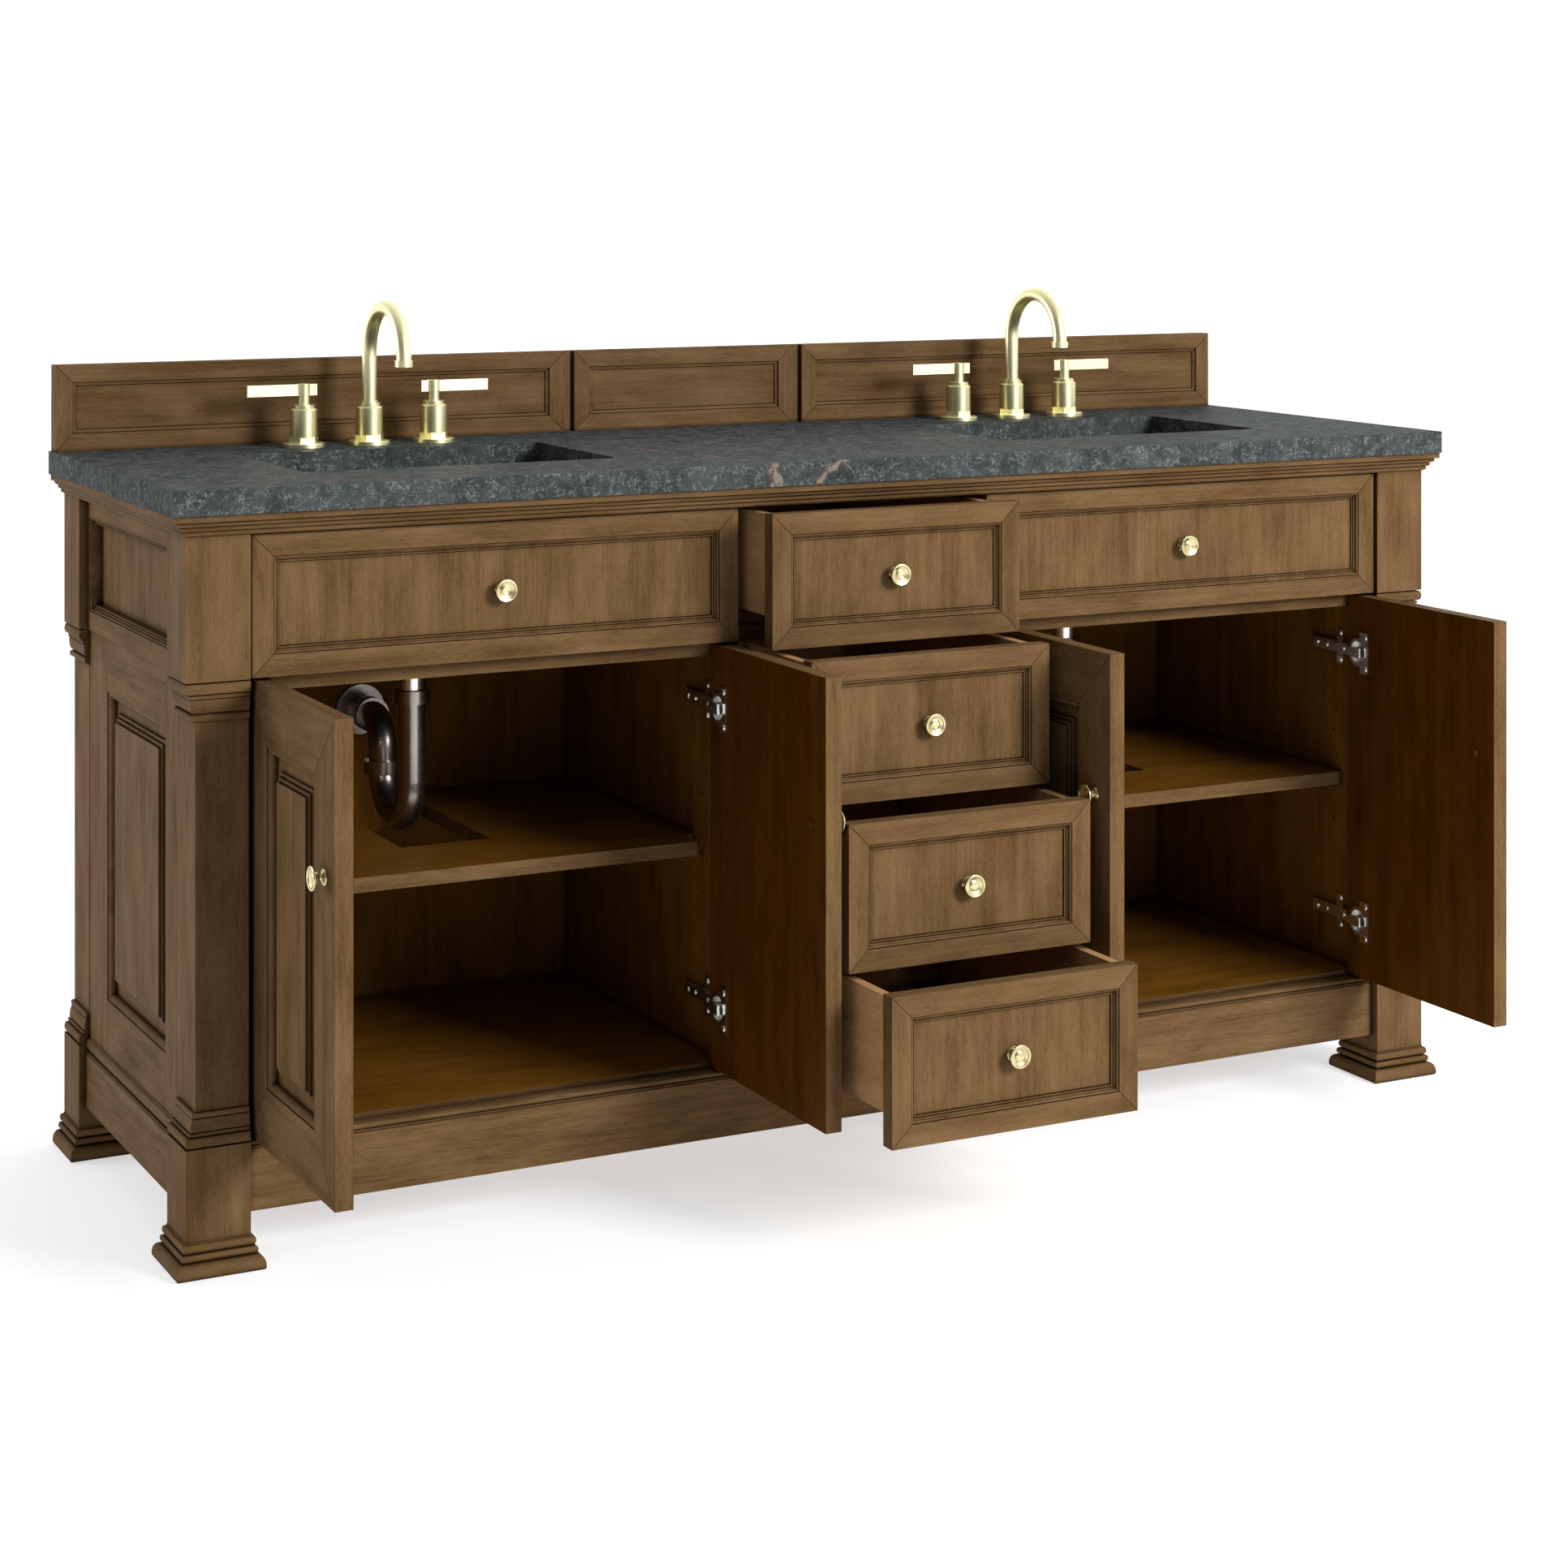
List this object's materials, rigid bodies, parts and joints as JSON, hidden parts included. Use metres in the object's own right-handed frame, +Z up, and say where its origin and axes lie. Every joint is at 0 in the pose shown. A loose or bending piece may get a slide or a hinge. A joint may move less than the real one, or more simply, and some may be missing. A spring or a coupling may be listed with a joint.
{
  "type": "bathroom vanity cabinet",
  "caption": "Freestanding double-sink bathroom vanity: brown wooden case on moulded corner posts, stone top, framed doors, drawers and tip-out trays, brass faucets and knobs.",
  "frame": {"origin": "on the floor, at the centre of the bounding box in X and Y, in the shown open state", "axes": "+X to the right along the width, -Y towards the front, +Z up"},
  "size_m": [1.829, 0.9472, 1.107],
  "materials": {
    "stone": "honed",
    "wood": "satin lacquer",
    "dark_wood": "satin lacquer",
    "pale_wood": "clear lacquer",
    "brass": "satin",
    "nickel": "polished",
    "dark_chrome": "polished"
  },
  "bodies": {
    "case": {"countertop": "stone", "sink_basins": "stone", "drain_fittings": "nickel", "trap_tubes": "dark_chrome", "backsplash_panels": "wood", "crown_moulding": "wood", "corner_posts": "wood", "post_capitals": "wood", "post_bases": "wood", "post_feet": "wood", "side_frames": "wood", "side_panels": "wood", "skirts": "wood", "rails": "wood", "partitions": "dark_wood", "cabinet_floor": "dark_wood", "back_panel": "dark_wood", "shelves": "dark_wood", "hinge_arms": "nickel", "drawer_runners": "nickel", "faucet_spouts": "brass", "faucet_valves": "brass"},
    "door_1": {"door_1_frame": "wood", "door_1_panel": "wood", "door_1_hinge_cups": "nickel", "door_1_knob": "brass"},
    "door_2": {"door_2_frame": "wood", "door_2_panel": "wood", "door_2_hinge_cups": "nickel", "door_2_knob": "brass"},
    "door_3": {"door_3_frame": "wood", "door_3_panel": "wood", "door_3_hinge_cups": "nickel", "door_3_knob": "brass"},
    "door_4": {"door_4_frame": "wood", "door_4_panel": "wood", "door_4_hinge_cups": "nickel", "door_4_knob": "brass"},
    "drawer_1": {"drawer_1_front": "wood", "drawer_1_box": "pale_wood", "drawer_1_knob": "brass"},
    "drawer_2": {"drawer_2_front": "wood", "drawer_2_box": "pale_wood", "drawer_2_knob": "brass"},
    "drawer_3": {"drawer_3_front": "wood", "drawer_3_box": "pale_wood", "drawer_3_knob": "brass"},
    "drawer_4": {"drawer_4_front": "wood", "drawer_4_box": "pale_wood", "drawer_4_knob": "brass"},
    "tip_out_1": {"tip_out_1_front": "wood", "tip_out_1_tray": "nickel", "tip_out_1_knob": "brass"},
    "tip_out_2": {"tip_out_2_front": "wood", "tip_out_2_tray": "nickel", "tip_out_2_knob": "brass"},
    "faucet_lever_1": {"faucet_lever_1": "brass"},
    "faucet_lever_2": {"faucet_lever_2": "brass"},
    "faucet_lever_3": {"faucet_lever_3": "brass"},
    "faucet_lever_4": {"faucet_lever_4": "brass"}
  },
  "joints": [
    {"name": "door_1_hinge", "type": "hinge", "parent": "case", "child": "door_1", "pos_m": [-0.7983, -0.07735, 0.4145], "axis": [0, 0, -1], "range_deg": [-90, 15]},
    {"name": "door_2_hinge", "type": "hinge", "parent": "case", "child": "door_2", "pos_m": [-0.1997, -0.07735, 0.4145], "axis": [0, 0, 1], "range_deg": [-90, 0]},
    {"name": "door_3_hinge", "type": "hinge", "parent": "case", "child": "door_3", "pos_m": [0.1997, -0.07735, 0.4145], "axis": [0, 0, -1], "range_deg": [-90, 0]},
    {"name": "door_4_hinge", "type": "hinge", "parent": "case", "child": "door_4", "pos_m": [0.7983, -0.07735, 0.4145], "axis": [0, 0, 1], "range_deg": [-90, 15]},
    {"name": "drawer_1_slide", "type": "slide", "parent": "case", "child": "drawer_1", "axis": [0, -1, 0], "range_m": [-0.088, 0.312]},
    {"name": "drawer_2_slide", "type": "slide", "parent": "case", "child": "drawer_2", "axis": [0, -1, 0], "range_m": [-0.175, 0.225]},
    {"name": "drawer_3_slide", "type": "slide", "parent": "case", "child": "drawer_3", "axis": [0, -1, 0], "range_m": [-0.27, 0.13]},
    {"name": "drawer_4_slide", "type": "slide", "parent": "case", "child": "drawer_4", "axis": [0, -1, 0], "range_m": [-0.375, 0.025]},
    {"name": "tip_out_1_hinge", "type": "hinge", "parent": "case", "child": "tip_out_1", "pos_m": [-0.498, -0.08665, 0.6884], "axis": [1, 0, 0], "range_deg": [0, 40]},
    {"name": "tip_out_2_hinge", "type": "hinge", "parent": "case", "child": "tip_out_2", "pos_m": [0.498, -0.08665, 0.6884], "axis": [1, 0, 0], "range_deg": [0, 40]},
    {"name": "faucet_lever_1_turn", "type": "hinge", "parent": "case", "child": "faucet_lever_1", "pos_m": [-0.597, 0.37935, 0.978], "axis": [0, 0, 1], "range_deg": [0, 90]},
    {"name": "faucet_lever_2_turn", "type": "hinge", "parent": "case", "child": "faucet_lever_2", "pos_m": [-0.413, 0.37935, 0.978], "axis": [0, 0, 1], "range_deg": [-90, 0]},
    {"name": "faucet_lever_3_turn", "type": "hinge", "parent": "case", "child": "faucet_lever_3", "pos_m": [0.413, 0.37935, 0.978], "axis": [0, 0, 1], "range_deg": [0, 90]},
    {"name": "faucet_lever_4_turn", "type": "hinge", "parent": "case", "child": "faucet_lever_4", "pos_m": [0.597, 0.37935, 0.978], "axis": [0, 0, 1], "range_deg": [-90, 0]}
  ]
}
